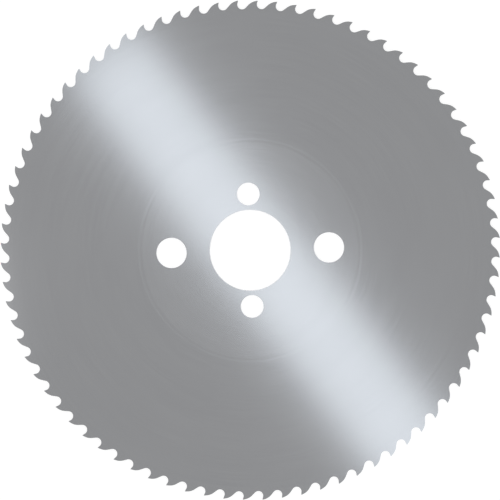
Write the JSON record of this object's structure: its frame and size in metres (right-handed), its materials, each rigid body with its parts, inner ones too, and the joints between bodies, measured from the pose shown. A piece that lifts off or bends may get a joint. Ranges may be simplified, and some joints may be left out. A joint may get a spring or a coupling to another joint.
{
  "type": "slitting saw",
  "caption": "Circular metal slitting saw: thin hollow-ground steel disc with curved hook teeth, an arbor bore and driving pin holes.",
  "frame": {"origin": "on the bore's axis, in the plane of the lower hub face, on which the blade lies and which seats on the inner flange", "axes": "+Z along the bore's axis, away from that face; +X through the pair of large pin holes and +Y through the pair of small ones; seen from +Z the teeth point clockwise"},
  "size_m": [0.2, 0.2, 0.0018],
  "materials": {
    "ground_steel": "fine circular grind, satin"
  },
  "bodies": {
    "root": {"saw_blade": "ground_steel"}
  },
  "joints": []
}
